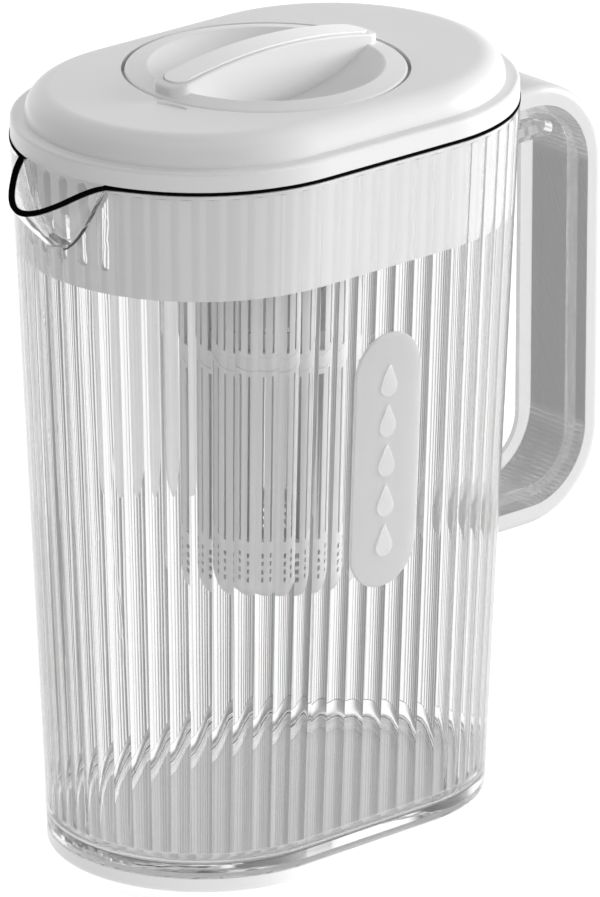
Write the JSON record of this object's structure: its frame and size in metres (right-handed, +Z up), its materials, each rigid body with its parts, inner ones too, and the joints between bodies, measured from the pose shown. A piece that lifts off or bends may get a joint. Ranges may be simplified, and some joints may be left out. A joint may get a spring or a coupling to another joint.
{
  "type": "infuser water pitcher",
  "caption": "Clear fluted water pitcher with a spout, a loop handle, and a white lid whose round cap carries a slotted infuser.",
  "frame": {"origin": "middle of the base, on the surface that the pitcher stands on", "axes": "+Z up, +X towards the handle and -X towards the spout, +Y towards one of the two long sides"},
  "size_m": [0.2325, 0.1186, 0.2587],
  "materials": {
    "clear_body": "clear moulded plastic, glossy, with upright flutes",
    "clear_handle": "clear moulded plastic, glossy",
    "white_lid": "white moulded plastic, satin gloss",
    "white_handle": "white moulded plastic, satin gloss",
    "white_foot": "white moulded plastic, satin gloss",
    "inlay_gloss": "polished white plastic",
    "badge": "pale grey plate with low raised drops",
    "white_infuser": "white moulded plastic, satin",
    "seal_silicone": "soft translucent silicone"
  },
  "bodies": {
    "pitcher": {"pitcher_body": "clear_body", "base_foot": "white_foot", "handle_channel": "clear_handle", "handle_cover": "white_handle", "badge_front": "badge", "badge_back": "badge"},
    "lid": {"lid_ring": "white_lid", "lid_cover": "white_lid"},
    "seal": {"cap_seal": "seal_silicone"},
    "cap": {"cap_shell": "white_lid", "grip_inlay": "inlay_gloss", "cap_plug": "white_lid", "infuser_neck": "white_infuser"},
    "basket": {"infuser_basket": "white_infuser", "infuser_end_cap": "white_infuser"}
  },
  "joints": [
    {"name": "lid_lift", "type": "slide", "parent": "pitcher", "child": "lid", "axis": [0, 0, 1], "range_m": [0, 0.185]},
    {"name": "cap_lift", "type": "slide", "parent": "lid", "child": "seal", "axis": [0, 0, 1], "range_m": [0, 0.18]},
    {"name": "cap_turn", "type": "hinge", "parent": "seal", "child": "cap", "pos_m": [0, 0, 0.247], "axis": [0, 0, 1], "continuous": true},
    {"name": "basket_drop", "type": "slide", "parent": "cap", "child": "basket", "axis": [0, 0, -1], "range_m": [0, 0.055]}
  ]
}
